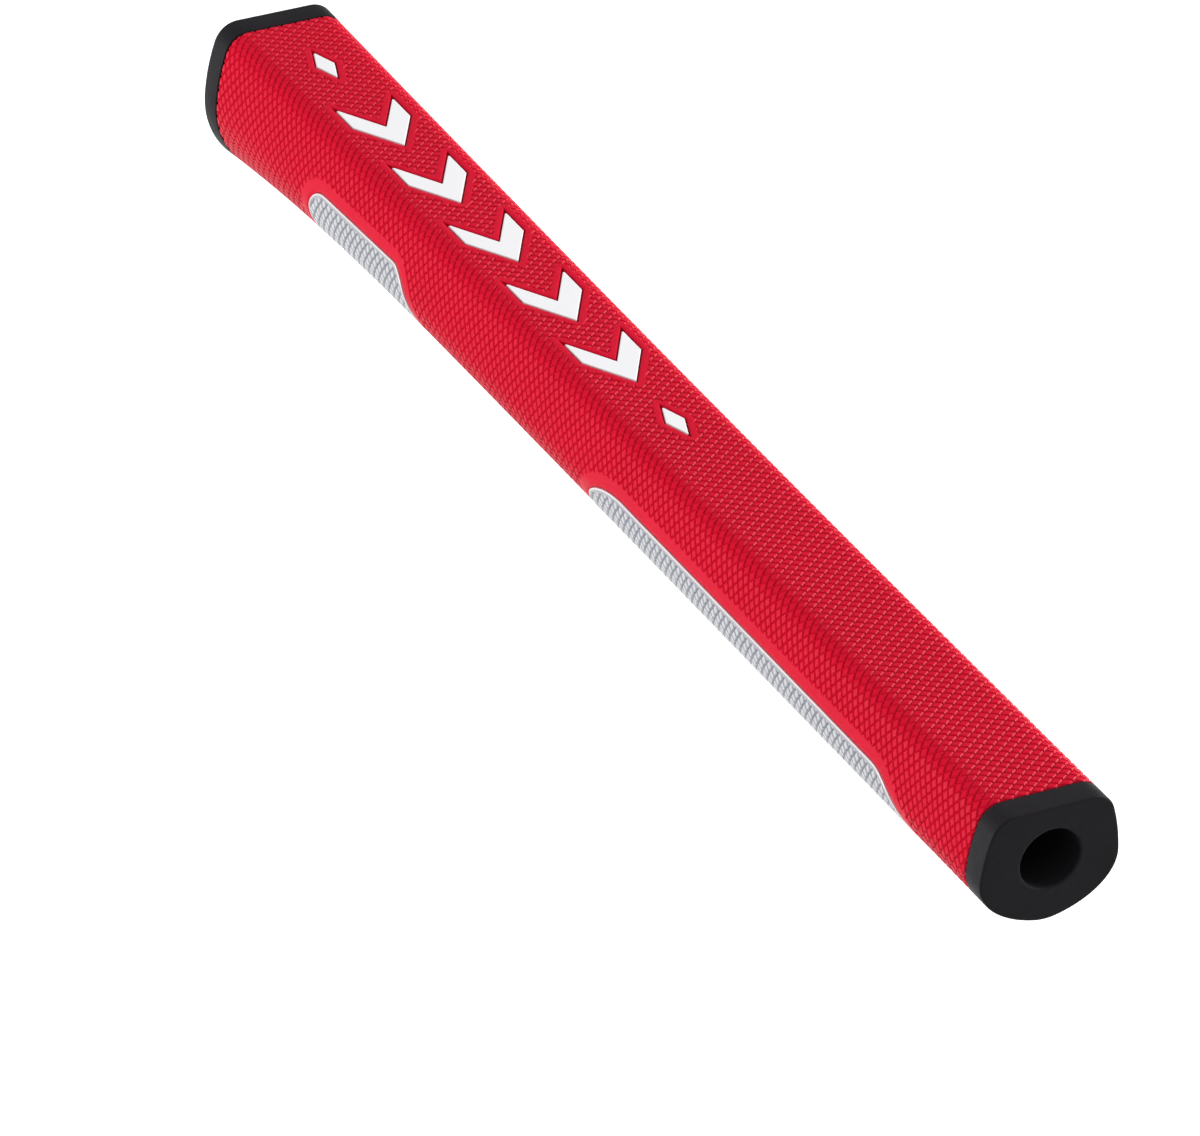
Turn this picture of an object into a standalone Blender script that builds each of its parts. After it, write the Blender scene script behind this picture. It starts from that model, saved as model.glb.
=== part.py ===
"""Golf putter grip: a pistol-shaped foam core wrapped in an embossed polyurethane cover,
with inlaid side panels, inlaid marks on the flat paddle face and a rubber cap at each end.

Frame, in metres: the origin is the point on the bore's axis where the end of the shaft stops,
+X runs along the shaft towards the mouth, and +Z is the side of the flat paddle face.
"""

import math

import bmesh
import bpy
import numpy as np

# Overall size. X positions named *_FROM_BUTT are measured from the butt cap's outer face.
LENGTH = 0.267
CAP_BAND = 0.0046  # how much of each rubber cap shows
PLUG_LENGTH = 0.0034  # the butt cap's plug inside the bore; its end is the shaft's stop
GAP = 0.0003  # clearance between neighbouring pieces
BUTT_X = -(CAP_BAND + PLUG_LENGTH)
MOUTH_X = BUTT_X + LENGTH
BODY_START_X = BUTT_X + CAP_BAND + GAP
BODY_END_X = MOUTH_X - CAP_BAND - GAP
BODY_STATIONS = 16
STATION_CROWDING = 1.25  # above 1, the stations lie closer together near the butt

# Outline of a cross-section, in widths: half of the flat paddle, then arcs of (radius, degrees)
# that run into each other down to the keel. The last arc, the keel's nose, closes the outline.
PADDLE_HALF = 0.2735
SHOULDER_ARC = (0.175, 72.8)
FLANK_ARC = (1.375, 16.3)
LOWER_FLANK_ARC = (0.63, 71.5)
PADDLE_ABOVE_AXIS = 0.407
COARSE_STEPS = (4, 2, 6, 2)
FINE_STEPS = (16, 8, 24, 8)

# How the section changes along the grip: width, paddle height and keel depth from the bore's axis.
WIDTH_BUTT, WIDTH_WAIST, WIDTH_MOUTH = 0.0255, 0.02315, 0.0245
PADDLE_BUTT, PADDLE_MOUTH = 0.0108, 0.0095
KEEL_BUTT, KEEL_WAIST, KEEL_MOUTH = 0.0189, 0.0125, 0.01115
PISTOL_LENGTH = 0.075  # the deep part of the keel at the butt
MOUTH_TAPER_FROM_BUTT = 0.150

# Layers from the outside in.
COVER = 0.0012
BACKING = 0.0005
BACKING_INSET = COVER + GAP
CORE_INSET = BACKING_INSET + BACKING + GAP

# Bore for the shaft and the caps' round features.
ROUND_STEPS = 24
BORE_BUTT_RADIUS = 0.0070
BORE_MOUTH_RADIUS = 0.0055
MOUTH_HOLE_RADIUS = 0.0053
COLLAR_RADIUS = 0.0062
COLLAR_LENGTH = 0.006
VENT_RADIUS = 0.0015
BUTT_EDGE_RADIUS = 0.0007
MOUTH_EDGE_RADIUS = 0.00035
EDGE_STEPS = 3
OVERLAP = 0.001  # how far joined solids and cutters run past a face

# Side panels, (from butt) along X and (girth) round the section from the paddle's middle. The
# upper edge runs from edge, behind the nose, up towards the paddle by rise, then down in the sweep.
PANEL_HEM_GIRTH = 0.0315
PANELS = {
    "upper": dict(
        start=0.0387, nose=0.0058, edge=0.0193, rise=0.0010, sweep_start=0.0690, sweep_end=0.0813
    ),
    "lower": dict(
        start=0.1375, nose=0.0122, edge=0.0192, rise=0.0003, sweep_start=0.2320, sweep_end=0.2525
    ),
}
NOSE_STEPS, STRAIGHT_STEPS, SWEEP_STEPS, ACROSS_STEPS = 6, 4, 10, 4
BLUNT_ANGLE = math.radians(7)
BLUNT_TIP = 0.88  # share of the sweep at which the panel's tip is cut off blunt
WINDOW_OVERRUN = 0.0005  # how far a window's cutter runs past the cover on both sides

# Keel seam.
SEAM_HALF_WIDTH = 0.0007
SEAM_NOSE_DROP = 0.00005

# Inlaid marks on the paddle face: a diamond at each end of a row of chevrons.
MARK_THICKNESS = 0.00035
MARK_CORNER = 0.00015
CORNER_STEPS = 3
DIAMOND_HALF_LENGTH, DIAMOND_HALF_WIDTH = 0.0046, 0.0017
DIAMONDS_FROM_BUTT = {"diamond_butt": 0.0201, "diamond_mouth": 0.1452}
CHEVRON_COUNT = 5
CHEVRON_FIRST_FROM_BUTT = 0.0345
CHEVRON_PITCH = 0.0206
CHEVRON_LENGTH, CHEVRON_ARM, CHEVRON_HALF_WIDTH = 0.0150, 0.0066, 0.0054


# ------------------------------------------------------------------ scene and materials


def clear_scene():
    for item in list(bpy.data.objects):
        bpy.data.objects.remove(item, do_unlink=True)


def new_collection(name):
    made = bpy.data.collections.new(name)
    bpy.context.scene.collection.children.link(made)
    return made


def new_material(name, colour, roughness, metallic=0.0):
    made = bpy.data.materials.new(name)
    made.use_nodes = True
    shader = made.node_tree.nodes["Principled BSDF"]
    shader.inputs["Base Color"].default_value = (*colour, 1.0)
    shader.inputs["Roughness"].default_value = roughness
    shader.inputs["Metallic"].default_value = metallic
    made.diffuse_color = (*colour, 1.0)
    return made


def add_mesh(name, verts, faces, collection):
    """A mesh object with all of its faces turned outwards."""
    mesh = bpy.data.meshes.new(name)
    mesh.from_pydata([tuple(v) for v in verts], [], faces)
    shape = bmesh.new()
    shape.from_mesh(mesh)
    bmesh.ops.recalc_face_normals(shape, faces=shape.faces)
    shape.to_mesh(mesh)
    shape.free()
    made = bpy.data.objects.new(name, mesh)
    collection.objects.link(made)
    return made


def smooth(item, degrees=35):
    item.data.shade_smooth()
    item.data.set_sharp_from_angle(angle=math.radians(degrees))


def cut(item, tool, operation="DIFFERENCE"):
    """Adds an exact Boolean modifier that cuts item with a tool object or collection."""
    modifier = item.modifiers.new(operation.lower(), "BOOLEAN")
    modifier.operation = operation
    modifier.solver = "EXACT"
    if isinstance(tool, bpy.types.Collection):
        modifier.operand_type = "COLLECTION"
        modifier.collection = tool
    else:
        modifier.object = tool


def hide_cutter(item):
    item.hide_render = True
    item.display_type = "WIRE"


# ------------------------------------------------------------------ the grip's cross-section


def unit_half_outline(steps):
    """(y, z) in widths from the paddle's middle, at z = 0, down the -Y side to the keel."""
    arcs = [SHOULDER_ARC, FLANK_ARC, LOWER_FLANK_ARC]
    nose_angle = 180.0 - sum(degrees for _, degrees in arcs)
    points = [np.array([0.0, 0.0]), np.array([-PADDLE_HALF, 0.0])]
    heading = 0.0
    for index, count in enumerate(steps):
        if index < len(arcs):
            radius, degrees = arcs[index]
        else:
            degrees = nose_angle
            radius = -points[-1][0] / math.sin(math.radians(nose_angle))
        start = points[-1]
        centre = start + radius * np.array([math.sin(heading), -math.cos(heading)])
        for step in range(1, count + 1):
            angle = heading + math.radians(degrees) * step / count
            points.append(centre + radius * np.array([-math.sin(angle), math.cos(angle)]))
        heading += math.radians(degrees)
    return np.array(points)


COARSE_HALF = unit_half_outline(COARSE_STEPS)
FINE_HALF = unit_half_outline(FINE_STEPS)
KEEL_BELOW_AXIS = -COARSE_HALF[-1][1] - PADDLE_ABOVE_AXIS


def width_at(x):
    """Section width: a shallow waist between the two ends."""
    t = (x - BUTT_X) / LENGTH
    bow = 4 * (WIDTH_WAIST - (WIDTH_BUTT + WIDTH_MOUTH) / 2)
    return WIDTH_BUTT + (WIDTH_MOUTH - WIDTH_BUTT) * t + bow * t * (1 - t)


def paddle_at(x):
    """Height of the flat face above the bore's axis: one straight slope."""
    return PADDLE_BUTT + (PADDLE_MOUTH - PADDLE_BUTT) * (x - BUTT_X) / LENGTH


def keel_at(x):
    """Depth of the keel below the bore's axis: deep at the butt, a little shallower at the mouth."""
    from_butt = x - BUTT_X
    pistol = max(0.0, 1 - from_butt / PISTOL_LENGTH) ** 2
    taper = max(0.0, (from_butt - MOUTH_TAPER_FROM_BUTT) / (LENGTH - MOUTH_TAPER_FROM_BUTT)) ** 2
    return KEEL_WAIST + (KEEL_BUTT - KEEL_WAIST) * pistol - (KEEL_WAIST - KEEL_MOUTH) * taper


def half_section(x, unit_half):
    """The -Y half of the outline at x, in metres about the bore's axis."""
    y = unit_half[:, 0] * width_at(x)
    z = unit_half[:, 1] + PADDLE_ABOVE_AXIS
    above = paddle_at(x) / PADDLE_ABOVE_AXIS
    below = keel_at(x) / KEEL_BELOW_AXIS
    return np.column_stack([y, np.where(z > 0, z * above, z * below)])


def offset_half(half, lift):
    """The half outline moved outwards by lift, every side staying parallel to itself."""
    mirrored_start = half[1] * [-1, 1]
    mirrored_end = half[-2] * [-1, 1]
    path = np.vstack([mirrored_start, half, mirrored_end])
    along = np.diff(path, axis=0)
    along /= np.linalg.norm(along, axis=1)[:, None]
    outward = np.column_stack([along[:, 1], -along[:, 0]])
    before, after = outward[:-1], outward[1:]
    mitre = (before + after) / (1 + (before * after).sum(axis=1))[:, None]
    return half + lift * mitre


def ring(x, inset):
    """Closed ring of points round the section at x, moved inwards by inset."""
    half = offset_half(half_section(x, COARSE_HALF), -inset)
    other = half[-2:0:-1] * [-1, 1]
    return [(x, y, z) for y, z in np.vstack([half, other])]


def surface_point(x, girth, lift, side):
    """Point at a distance girth round the section from the paddle's middle, raised by lift."""
    half = half_section(x, FINE_HALF)
    raised = offset_half(half, lift)
    lengths = np.linalg.norm(np.diff(half, axis=0), axis=1)
    travelled = np.concatenate([[0.0], np.cumsum(lengths)])
    y = np.interp(girth, travelled, raised[:, 0])
    z = np.interp(girth, travelled, raised[:, 1])
    return (x, -side * y, z)


# ------------------------------------------------------------------ lofted bodies


def bridge(first, second, count):
    """Quads between two rings whose vertices start at the given numbers."""
    return [
        (first + i, first + (i + 1) % count, second + (i + 1) % count, second + i)
        for i in range(count)
    ]


def loft(name, rings, collection, closed_on_itself=False):
    """Skins a row of rings. The ends are capped, or joined to each other for a hollow shell."""
    count = len(rings[0])
    verts = [point for one in rings for point in one]
    faces = []
    for i in range(len(rings) - 1):
        faces += bridge(i * count, (i + 1) * count, count)
    last = (len(rings) - 1) * count
    if closed_on_itself:
        faces += bridge(last, 0, count)
    else:
        faces.append(tuple(range(count)))
        faces.append(tuple(range(last, last + count)))
    return add_mesh(name, verts, faces, collection)


def body_stations():
    """X positions from the butt cap's seam to the mouth cap's, crowded where the keel bends."""
    t = np.linspace(0, 1, BODY_STATIONS + 1) ** STATION_CROWDING
    return BODY_START_X + (BODY_END_X - BODY_START_X) * t


def shell(name, outer_inset, thickness, collection):
    """Open-ended tube that follows the grip's outline."""
    stations = body_stations()
    outer = [ring(x, outer_inset) for x in stations]
    inner = [ring(x, outer_inset + thickness) for x in reversed(stations)]
    return loft(name, outer + inner, collection, closed_on_itself=True)


def cap_plate(name, face_x, inward, edge_radius, collection):
    """Plate with the section's outline and a rounded edge. inward is +1 or -1 along X."""
    rings = []
    for step in range(EDGE_STEPS + 1):
        angle = math.pi / 2 * step / EDGE_STEPS
        x = face_x + inward * edge_radius * (1 - math.cos(angle))
        rings.append(ring(x, edge_radius * (1 - math.sin(angle))))
    rings.append(ring(face_x + inward * CAP_BAND, 0.0))
    return loft(name, rings, collection)


def round_body(name, x_low, x_high, radius_low, radius_high, collection):
    """Cylinder or cone along the bore's axis."""
    bpy.ops.mesh.primitive_cone_add(
        vertices=ROUND_STEPS,
        radius1=radius_low,
        radius2=radius_high,
        depth=x_high - x_low,
        location=((x_low + x_high) / 2, 0, 0),
        rotation=(0, math.pi / 2, 0),
    )
    made = bpy.context.object
    made.name = name
    for holder in list(made.users_collection):
        holder.objects.unlink(made)
    collection.objects.link(made)
    return made


# ------------------------------------------------------------------ core, backing and cover


def bore_radius_at(x):
    t = (x - BODY_START_X) / (BODY_END_X - BODY_START_X)
    return BORE_BUTT_RADIUS + (BORE_MOUTH_RADIUS - BORE_BUTT_RADIUS) * t


def make_core(collection, cutters):
    """Foam body with a tapering bore, and a counterbore at the mouth for the cap's collar."""
    core = loft("foam_core", [ring(x, CORE_INSET) for x in body_stations()], collection)
    low, high = BODY_START_X - OVERLAP, BODY_END_X + OVERLAP
    bore = round_body("cut_bore", low, high, bore_radius_at(low), bore_radius_at(high), cutters)
    collar_start = BODY_END_X + GAP - COLLAR_LENGTH - GAP
    radius = COLLAR_RADIUS + GAP
    recess = round_body("cut_collar_recess", collar_start, high, radius, radius, cutters)
    for tool in (bore, recess):
        hide_cutter(tool)
        cut(core, tool)
    return core


def make_backing(collection):
    return shell("cover_backing", BACKING_INSET, BACKING, collection)


def seam_rings(half_width, below, above):
    """Four-cornered rings that follow the keel line, for the seam strip and its slot."""
    rings = []
    for x in body_stations():
        low, high = -keel_at(x) - below, -keel_at(x) + above
        rings.append([(x, y, z) for y, z in (
            (-half_width, low),
            (half_width, low),
            (half_width, high),
            (-half_width, high),
        )])
    return rings


def make_seam(collection):
    rings = seam_rings(SEAM_HALF_WIDTH, -SEAM_NOSE_DROP, COVER)
    return loft("seam_strip", rings, collection)


def make_seam_slot(cutters):
    """Slot along the keel where the two edges of the cover meet, running out of both ends."""
    rings = seam_rings(SEAM_HALF_WIDTH + GAP, 2 * COVER, 2 * COVER)
    rings[0] = [(x - OVERLAP, y, z) for x, y, z in rings[0]]
    rings[-1] = [(x + OVERLAP, y, z) for x, y, z in rings[-1]]
    return loft("cut_seam_slot", rings, cutters)


def make_cover(collection, window_cutters):
    cover = shell("pu_cover", 0.0, COVER, collection)
    cut(cover, window_cutters)
    return cover


# ------------------------------------------------------------------ side panels


def smoothstep(t):
    t = min(1.0, max(0.0, t))
    return t * t * (3 - 2 * t)


def panel_edges(panel, x_from_butt):
    """Upper and lower edge of a panel at x, as girths. A round nose, then an S at the far end."""
    middle = (panel["edge"] + panel["hem"]) / 2
    half = (panel["hem"] - panel["edge"]) / 2
    nose_end = panel["start"] + panel["nose"]
    if x_from_butt < nose_end:
        share = (nose_end - x_from_butt) / panel["nose"]
        reach = half * math.sqrt(max(0.0, 1 - share * share))
        return middle - reach, middle + reach
    climb = min(1.0, (x_from_butt - nose_end) / (panel["sweep_start"] - nose_end))
    sweep = (x_from_butt - panel["sweep_start"]) / (panel["sweep_end"] - panel["sweep_start"])
    upper = panel["edge"] - panel["rise"] * climb + panel["drop"] * smoothstep(sweep)
    return upper, panel["hem"]


def panel_stations(panel):
    """X positions, from the butt, that follow the nose, the straight run and the sweep."""
    nose_end = panel["start"] + panel["nose"]
    angles = np.linspace(BLUNT_ANGLE, math.pi / 2, NOSE_STEPS + 1)
    nose = nose_end - panel["nose"] * np.cos(angles)
    straight = np.linspace(nose_end, panel["sweep_start"], STRAIGHT_STEPS + 1)[1:]
    tip = panel["sweep_start"] + BLUNT_TIP * (panel["sweep_end"] - panel["sweep_start"])
    sweep = np.linspace(panel["sweep_start"], tip, SWEEP_STEPS + 1)[1:]
    return np.concatenate([nose, straight, sweep])


def panel_outline(which, margin):
    """The panel's named sizes, grown on every side by margin."""
    panel = dict(PANELS[which], hem=PANEL_HEM_GIRTH + margin)
    panel["drop"] = PANEL_HEM_GIRTH - panel["edge"] + panel["rise"]
    panel["edge"] -= margin
    panel["start"] -= margin
    panel["sweep_start"] += margin
    panel["sweep_end"] += margin
    return panel


def panel_body(name, panel, side, lift_high, lift_low, collection):
    """Curved slab between two heights over the grip's surface, inside the panel's outline."""
    rings = []
    for x_from_butt in panel_stations(panel):
        x = BUTT_X + x_from_butt
        girths = np.linspace(*panel_edges(panel, x_from_butt), ACROSS_STEPS + 1)
        high = [surface_point(x, girth, lift_high, side) for girth in girths]
        low = [surface_point(x, girth, lift_low, side) for girth in reversed(girths)]
        rings.append(high + low)
    return loft(name, rings, collection)


def make_panels(collection, window_cutters):
    """Four inlaid panels, with a window through the cover behind each."""
    panels = []
    for side_name, side in (("left", -1), ("right", 1)):
        for which in PANELS:
            name = f"panel_{side_name}_{which}"
            inlay = panel_outline(which, 0.0)
            window = panel_outline(which, GAP)
            panels.append(panel_body(name, inlay, side, 0.0, -COVER, collection))
            high, low = WINDOW_OVERRUN, -COVER - WINDOW_OVERRUN
            panel_body(f"cut_{name}", window, side, high, low, window_cutters)
    return panels


# ------------------------------------------------------------------ marks on the paddle face


def grown(outline, margin):
    """A counter-clockwise outline with every side moved outwards by margin."""
    points = np.array(outline)
    along = np.roll(points, -1, axis=0) - points
    along /= np.linalg.norm(along, axis=1)[:, None]
    outward = np.column_stack([along[:, 1], -along[:, 0]])
    before = np.roll(outward, 1, axis=0)
    mitre = (before + outward) / (1 + (before * outward).sum(axis=1))[:, None]
    return points + margin * mitre


def rounded(outline, radius):
    """The outline with each corner replaced by an arc that touches both of its sides."""
    points = np.array(outline)
    result = []
    for i, corner in enumerate(points):
        to_before = points[i - 1] - corner
        to_after = points[(i + 1) % len(points)] - corner
        to_before /= np.linalg.norm(to_before)
        to_after /= np.linalg.norm(to_after)
        half_angle = math.acos(np.clip(to_before @ to_after, -1, 1)) / 2
        start = corner + to_before * radius / math.tan(half_angle)
        end = corner + to_after * radius / math.tan(half_angle)
        bisector = (to_before + to_after) / np.linalg.norm(to_before + to_after)
        centre = corner + bisector * radius / math.sin(half_angle)
        for t in np.linspace(0, 1, CORNER_STEPS + 1):
            spoke = (1 - t) * start + t * end - centre
            result.append(centre + spoke * radius / np.linalg.norm(spoke))
    return result


def diamond_outline():
    length, width = DIAMOND_HALF_LENGTH, DIAMOND_HALF_WIDTH
    return [(-length, 0), (0, -width), (length, 0), (0, width)]


def chevron_outline():
    """A chevron that points along +X, from its tail at x = 0."""
    tip, arm, half = CHEVRON_LENGTH, CHEVRON_ARM, CHEVRON_HALF_WIDTH
    return [(0, -half), (arm, -half), (tip, 0), (arm, half), (0, half), (tip - arm, 0)]


def flat_body(name, outline, from_butt, lift_low, lift_high, collection):
    """A flat outline given thickness and laid on the sloping paddle face."""
    curve = bpy.data.curves.new(name, "CURVE")
    curve.dimensions = "2D"
    curve.fill_mode = "BOTH"
    curve.extrude = (lift_high - lift_low) / 2
    spline = curve.splines.new("POLY")
    spline.points.add(len(outline) - 1)
    for point, (x, y) in zip(spline.points, outline):
        point.co = (x, y, 0, 1)
    spline.use_cyclic_u = True
    guide = bpy.data.objects.new(name + "_outline", curve)
    x = BUTT_X + from_butt
    guide.location = (x, 0, paddle_at(x) + (lift_low + lift_high) / 2)
    guide.rotation_euler = (0, math.atan((PADDLE_BUTT - PADDLE_MOUTH) / LENGTH), 0)
    collection.objects.link(guide)
    bpy.context.view_layer.update()
    mesh = bpy.data.meshes.new_from_object(guide.evaluated_get(bpy.context.evaluated_depsgraph_get()))
    shape = bmesh.new()
    shape.from_mesh(mesh)
    bmesh.ops.remove_doubles(shape, verts=shape.verts, dist=1e-6)
    bmesh.ops.recalc_face_normals(shape, faces=shape.faces)
    shape.to_mesh(mesh)
    shape.free()
    made = bpy.data.objects.new(name, mesh)
    made.matrix_world = guide.matrix_world
    collection.objects.link(made)
    bpy.data.objects.remove(guide)
    return made


def make_marks(collection, window_cutters):
    """Two diamonds and a row of chevrons, each in a pocket in the cover."""
    places = [(name, diamond_outline(), x) for name, x in DIAMONDS_FROM_BUTT.items()]
    for number in range(CHEVRON_COUNT):
        x = CHEVRON_FIRST_FROM_BUTT + number * CHEVRON_PITCH
        places.append((f"chevron_{number + 1}", chevron_outline(), x))
    marks = []
    for name, outline, from_butt in places:
        inlay = rounded(outline, MARK_CORNER)
        pocket = rounded(grown(outline, GAP), MARK_CORNER)
        depth = MARK_THICKNESS + GAP
        marks.append(flat_body(name, inlay, from_butt, -MARK_THICKNESS, 0.0, collection))
        flat_body("cut_" + name, pocket, from_butt, -depth, OVERLAP, window_cutters)
    return marks


# ------------------------------------------------------------------ rubber caps


def make_butt_cap(collection, cutters):
    """End plate with a plug that enters the bore, and a vent hole through both."""
    cap = cap_plate("butt_cap", BUTT_X, 1, BUTT_EDGE_RADIUS, collection)
    radius = BORE_BUTT_RADIUS - GAP
    plug = round_body("join_plug", -PLUG_LENGTH - OVERLAP, 0.0, radius, radius, cutters)
    vent = round_body("cut_vent", BUTT_X - OVERLAP, OVERLAP, VENT_RADIUS, VENT_RADIUS, cutters)
    hide_cutter(plug)
    hide_cutter(vent)
    cut(cap, plug, "UNION")
    cut(cap, vent)
    return cap


def make_mouth_cap(collection, cutters):
    """End plate with a collar that lines the mouth of the bore."""
    cap = cap_plate("mouth_cap", MOUTH_X, -1, MOUTH_EDGE_RADIUS, collection)
    plate_x = MOUTH_X - CAP_BAND
    collar_x = plate_x - COLLAR_LENGTH
    collar = round_body(
        "join_collar", collar_x, plate_x + OVERLAP, COLLAR_RADIUS, COLLAR_RADIUS, cutters
    )
    hole = round_body(
        "cut_mouth_hole",
        collar_x - OVERLAP,
        MOUTH_X + OVERLAP,
        MOUTH_HOLE_RADIUS,
        MOUTH_HOLE_RADIUS,
        cutters,
    )
    hide_cutter(collar)
    hide_cutter(hole)
    cut(cap, collar, "UNION")
    cut(cap, hole)
    return cap


# ------------------------------------------------------------------ assembly


def main():
    clear_scene()
    grip = new_collection("golf_grip")
    cutters = new_collection("cutters")
    window_cutters = bpy.data.collections.new("cover_cutters")
    cutters.children.link(window_cutters)

    cover_red = new_material("cover_red", (0.60, 0.014, 0.040), 0.42)
    panel_grey = new_material("panel_grey", (0.55, 0.57, 0.62), 0.40)
    mark_white = new_material("mark_white", (0.86, 0.86, 0.88), 0.35)
    cap_black = new_material("cap_black", (0.022, 0.022, 0.025), 0.50)
    felt_red = new_material("felt_red", (0.25, 0.03, 0.04), 0.95)
    foam_grey = new_material("foam_grey", (0.12, 0.12, 0.13), 0.90)
    seam_red = new_material("seam_red", (0.42, 0.010, 0.028), 0.50)

    panels = make_panels(grip, window_cutters)
    marks = make_marks(grip, window_cutters)
    make_seam_slot(window_cutters)
    for tool in window_cutters.objects:
        hide_cutter(tool)

    finishes = [
        (make_core(grip, cutters), foam_grey),
        (make_backing(grip), felt_red),
        (make_cover(grip, window_cutters), cover_red),
        (make_seam(grip), seam_red),
        (make_butt_cap(grip, cutters), cap_black),
        (make_mouth_cap(grip, cutters), cap_black),
    ]
    finishes += [(panel, panel_grey) for panel in panels]
    finishes += [(mark, mark_white) for mark in marks]

    frame = bpy.data.objects.new("grip_frame", None)
    grip.objects.link(frame)
    for item, finish in finishes:
        item.data.materials.clear()
        item.data.materials.append(finish)
        smooth(item)
        item.parent = frame


main()
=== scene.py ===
"""Golf putter grip: the visible surface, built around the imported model.

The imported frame's axes are kept: the origin lies on the bore's axis where the shaft stops, +X runs
towards the mouth, and +Z is the side of the flat paddle face. Sizes are in metres, apart from the
panels' outlines, which are in millimetres.
A place on the grip's skin is given as (x, girth): girth is the distance round the section from the
paddle's middle, positive on the -Y side and negative on the +Y side. Lift is the height over the skin.
"""

import math

import bmesh
import bpy
import numpy as np
from mathutils import Matrix, Vector, geometry


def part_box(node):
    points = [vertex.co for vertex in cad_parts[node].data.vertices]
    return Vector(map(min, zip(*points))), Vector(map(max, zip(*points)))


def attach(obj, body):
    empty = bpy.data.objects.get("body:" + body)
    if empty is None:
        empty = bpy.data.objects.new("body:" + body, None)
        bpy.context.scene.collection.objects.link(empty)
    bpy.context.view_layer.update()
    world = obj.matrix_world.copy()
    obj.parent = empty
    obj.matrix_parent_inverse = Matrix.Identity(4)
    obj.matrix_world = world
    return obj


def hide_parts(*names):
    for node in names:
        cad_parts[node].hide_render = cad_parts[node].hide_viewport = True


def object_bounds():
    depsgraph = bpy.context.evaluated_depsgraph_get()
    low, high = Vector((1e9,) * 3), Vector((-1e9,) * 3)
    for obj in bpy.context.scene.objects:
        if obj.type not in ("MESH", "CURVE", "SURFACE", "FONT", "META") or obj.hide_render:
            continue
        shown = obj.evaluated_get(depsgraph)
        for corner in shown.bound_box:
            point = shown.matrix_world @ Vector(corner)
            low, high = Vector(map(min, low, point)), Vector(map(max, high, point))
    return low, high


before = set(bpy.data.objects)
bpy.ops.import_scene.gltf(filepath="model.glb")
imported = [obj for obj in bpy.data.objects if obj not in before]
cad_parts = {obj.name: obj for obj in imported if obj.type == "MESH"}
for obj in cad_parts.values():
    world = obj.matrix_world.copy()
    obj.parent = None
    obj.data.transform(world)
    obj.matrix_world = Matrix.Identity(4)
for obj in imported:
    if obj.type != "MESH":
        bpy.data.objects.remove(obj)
cad_low, cad_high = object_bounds()

MM = 0.001
GAP = 0.3 * MM  # between neighbouring pieces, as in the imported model

# ---- Overall sizes, from the frame
BUTT_X, MOUTH_X = cad_low.x, cad_high.x
LENGTH = MOUTH_X - BUTT_X
BODY_START_X, BODY_END_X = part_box("pu_cover")[0].x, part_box("pu_cover")[1].x
BUTT_SEAM_X = BODY_START_X - GAP
MOUTH_SEAM_X = BODY_END_X + GAP
PLUG_END_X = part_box("butt_cap")[1].x
COLLAR_END_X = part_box("mouth_cap")[0].x

# ---- Cross-section, in widths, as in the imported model: half of the flat paddle, then arcs of
# (radius, degrees) that run into each other down to the keel
PADDLE_HALF = 0.2735
ARCS = [(0.175, 72.8), (1.375, 16.3), (0.63, 71.5)]
PADDLE_ABOVE_AXIS = 0.407
OUTLINE_STEPS = (20, 10, 36, 10)
WIDTH_BUTT, WIDTH_WAIST, WIDTH_MOUTH = 25.5 * MM, 23.15 * MM, 24.5 * MM
PADDLE_BUTT, PADDLE_MOUTH = 10.8 * MM, 9.5 * MM
KEEL_BUTT, KEEL_WAIST, KEEL_MOUTH = 18.9 * MM, 12.5 * MM, 11.15 * MM
PISTOL_LENGTH = 75 * MM
MOUTH_TAPER_FROM_BUTT = 150 * MM

# ---- Layers and round features
COVER = 1.2 * MM
CORE_INSET = 2.3 * MM
BORE_BUTT_RADIUS, BORE_MOUTH_RADIUS = 7.0 * MM, 5.5 * MM
PLUG_RADIUS, COLLAR_RADIUS = 6.7 * MM, 6.2 * MM
COLLAR_RECESS_RADIUS = 6.5 * MM
VENT_RADIUS, MOUTH_HOLE_RADIUS = 1.5 * MM, 5.3 * MM
BUTT_EDGE_RADIUS, MOUTH_EDGE_RADIUS = 0.7 * MM, 0.35 * MM

# ---- Emboss: rhombic cells between two families of diagonal grooves
CELL_LENGTH, CELL_WIDTH = 1.78 * MM, 2.56 * MM
COVER_GROOVE = 0.18  # half width of a groove, as a share of the distance between grooves
PANEL_GROOVE = 0.20
GROOVE_DEPTH = 0.28 * MM
FADE = 0.25 * MM  # how fast a groove runs out at a smooth band
EDGE_ROLL, EDGE_DROP = 0.18 * MM, 0.11 * MM  # width and depth of the cover's rounded cut edges
WINDOW_ROLL, WINDOW_DROP = 0.6 * MM, 0.22 * MM  # the same at the windows for the panels
SHARP_EMBOSS = 32  # degrees between faces over which the emboss is shaded sharp

# ---- Panels: places along the grip are measured from the butt cap's outer face, in mm. The upper
# edge runs from the girth edge, behind the nose, up by rise, then down to the hem in the sweep.
PANEL_HEM_GIRTH = 31.5
PANELS = {
    "upper": dict(start=38.7, nose=5.8, edge=19.3, rise=1.0, sweep_start=69.0, sweep_end=81.3),
    "lower": dict(start=137.5, nose=12.2, edge=19.2, rise=0.3, sweep_start=232.0, sweep_end=252.5),
}
BLUNT_TIP = 0.88  # share of the sweep at which the panel's tip is cut off blunt
BAND = 2.35 * MM  # smooth red band round a panel
WINDOW_GAP = 0.14 * MM  # between the band's edge and the panel
PANEL_LIFT = 0.06 * MM  # how far a panel stands over the skin
PANEL_BORDER = 0.60 * MM  # smooth grey strip inside the panel's edge
RIM = 0.18 * MM  # painted highlight along the panel's rounded edge
RIM_DROP = 0.10 * MM

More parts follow.
